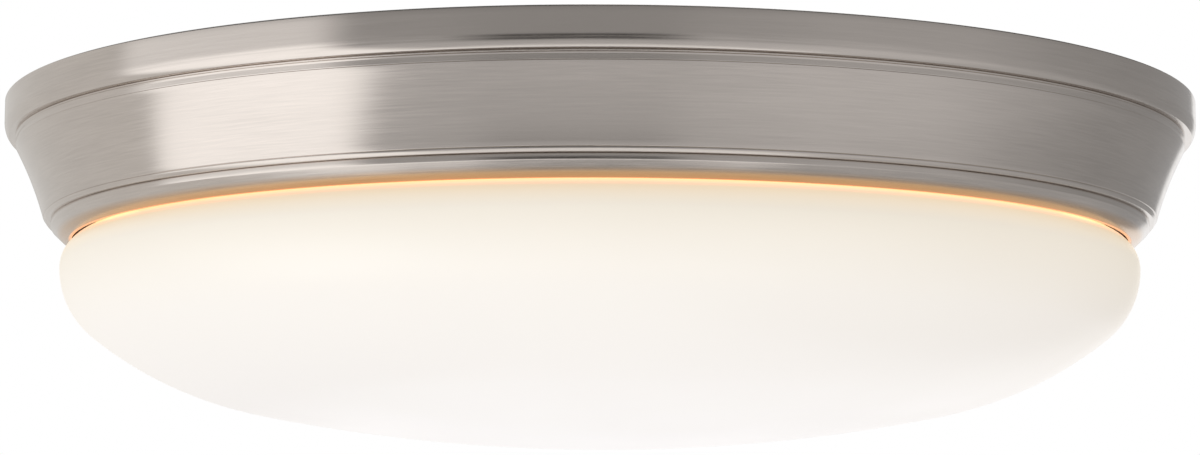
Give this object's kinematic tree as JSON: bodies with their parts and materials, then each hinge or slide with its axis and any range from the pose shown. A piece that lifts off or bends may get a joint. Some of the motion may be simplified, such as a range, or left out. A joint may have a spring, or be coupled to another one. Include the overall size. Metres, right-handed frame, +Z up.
{
  "type": "flush mount ceiling light",
  "caption": "Round flush mount ceiling light: spun brushed nickel ring and opal glass bowl on a twist lock, with LED board and driver inside.",
  "frame": {"origin": "centre of the ceiling plane, where the ring's flat top meets the ceiling", "axes": "+Z up into the ceiling along the light's axis; the glass bowl hangs down along -Z; +X along the crossbar"},
  "size_m": [0.356, 0.356, 0.0998],
  "materials": {
    "brushed_nickel": "brushed round the ring, satin, clear lacquered",
    "opal_glass": "opal white, smooth and glossy, lit warm white from inside",
    "white_enamel": "white stove enamel, semi gloss",
    "zinc_steel": "zinc plated sheet steel",
    "screw_steel": "bright zinc plated",
    "spring_steel": "bright spring steel",
    "rivet_aluminium": "bare aluminium",
    "tray_aluminium": "satin aluminium sheet",
    "ground_green": "green dyed zinc",
    "black_rubber": "matte moulded rubber",
    "clear_silicone": "milky silicone",
    "block_plastic": "natural white nylon",
    "lead_black": "black insulation",
    "lead_white": "white insulation",
    "lead_red": "red insulation",
    "driver_plastic": "white flame retardant plastic",
    "circuit_board": "green solder mask",
    "transformer_tape": "yellow winding tape on a ferrite core",
    "capacitor_sleeve": "dark shrink sleeve",
    "board_white": "white solder mask on aluminium",
    "led_phosphor": "yellow phosphor in a white frame"
  },
  "bodies": {
    "housing": {"trim_ring": "brushed_nickel", "base_plate": "white_enamel", "ring_rivets": "rivet_aluminium", "crossbar": "zinc_steel", "crossbar_studs": "screw_steel", "stud_lock_nuts": "screw_steel", "cap_nuts": "screw_steel", "ground_screw": "ground_green", "wire_bushing": "black_rubber", "terminal_block": "block_plastic", "terminal_screw": "screw_steel", "live_lead": "lead_black", "neutral_lead": "lead_white", "positive_lead": "lead_red", "negative_lead": "lead_black", "lead_grommet": "black_rubber", "driver_case": "driver_plastic", "driver_lid": "driver_plastic", "driver_board": "circuit_board", "driver_transformer": "transformer_tape", "driver_capacitors": "capacitor_sleeve", "driver_screws": "screw_steel", "tray_standoffs": "screw_steel", "tray_screws": "screw_steel", "led_tray": "tray_aluminium", "led_board": "board_white", "led_chips": "led_phosphor", "board_screws": "screw_steel", "board_connector": "block_plastic", "lug_bracket_1": "zinc_steel", "lug_bracket_2": "zinc_steel", "lug_bracket_3": "zinc_steel", "bracket_rivets": "rivet_aluminium", "hold_down_springs": "spring_steel", "spring_rivets": "rivet_aluminium"},
    "glass_carrier": {"glass_carrier_ring": "zinc_steel", "glass_clips": "spring_steel", "clip_rivets": "rivet_aluminium", "glass_gasket": "clear_silicone"},
    "glass": {"glass_bowl": "opal_glass"}
  },
  "joints": [
    {"name": "glass_twist", "type": "hinge", "parent": "housing", "child": "glass_carrier", "pos_m": [0, 0, -0.0372], "axis": [0, 0, 1], "range_deg": [-16, 0]},
    {"name": "glass_pull", "type": "slide", "parent": "glass_carrier", "child": "glass", "axis": [0, 0, -1], "range_m": [0, 0.12]}
  ]
}
